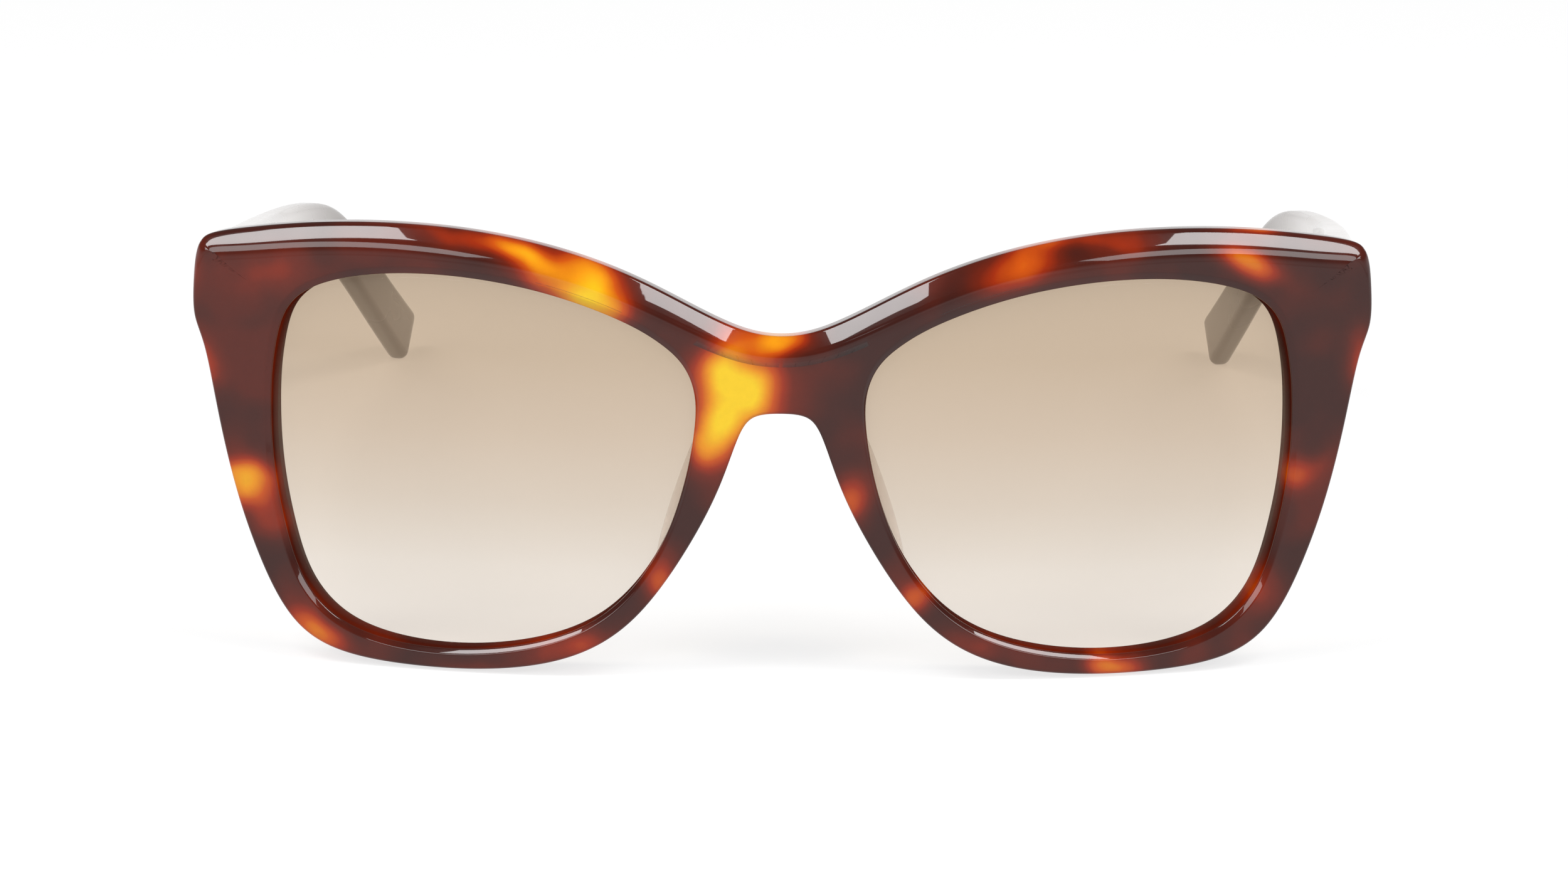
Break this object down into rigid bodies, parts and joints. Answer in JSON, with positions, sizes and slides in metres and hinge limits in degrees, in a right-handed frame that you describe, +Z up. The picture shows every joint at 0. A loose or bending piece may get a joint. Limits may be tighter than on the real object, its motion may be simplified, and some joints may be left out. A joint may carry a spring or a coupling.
{
  "type": "sunglasses",
  "caption": "Cat eye sunglasses with a bent tortoiseshell front, gradient tinted lenses, clear nose pads and pale temples that fold on barrel hinges.",
  "frame": {"origin": "centre of the footprint, on the table that the rims' bottoms and the temples' tips rest on", "axes": "-Y is the way the lenses face, +Z is up, +X is the wearer's left"},
  "size_m": [0.1434, 0.1426, 0.0535],
  "materials": {
    "tortoise_acetate": "polished",
    "lens_tint": "polished",
    "clear_acetate": "polished",
    "ivory_acetate": "polished",
    "hinge_metal": "satin",
    "screw_steel": "polished",
    "wire_steel": "satin"
  },
  "bodies": {
    "front": {"front_frame": "tortoise_acetate", "left_lens": "lens_tint", "right_lens": "lens_tint", "left_nose_pad": "clear_acetate", "right_nose_pad": "clear_acetate", "left_front_hinge": "hinge_metal", "right_front_hinge": "hinge_metal", "left_hinge_screw": "screw_steel", "right_hinge_screw": "screw_steel"},
    "left_arm": {"left_temple": "ivory_acetate", "left_temple_hinge": "hinge_metal", "left_core_wire": "wire_steel"},
    "right_arm": {"right_temple": "ivory_acetate", "right_temple_hinge": "hinge_metal", "right_core_wire": "wire_steel"}
  },
  "joints": [
    {"name": "left_temple_fold", "type": "hinge", "parent": "front", "child": "left_arm", "pos_m": [0.06294, -0.05293, 0.04414], "axis": [0, 0.1061, 0.9944], "range_deg": [0, 86]},
    {"name": "right_temple_fold", "type": "hinge", "parent": "front", "child": "right_arm", "pos_m": [-0.06466, -0.05293, 0.04414], "axis": [0, -0.1061, -0.9944], "range_deg": [0, 72]}
  ]
}
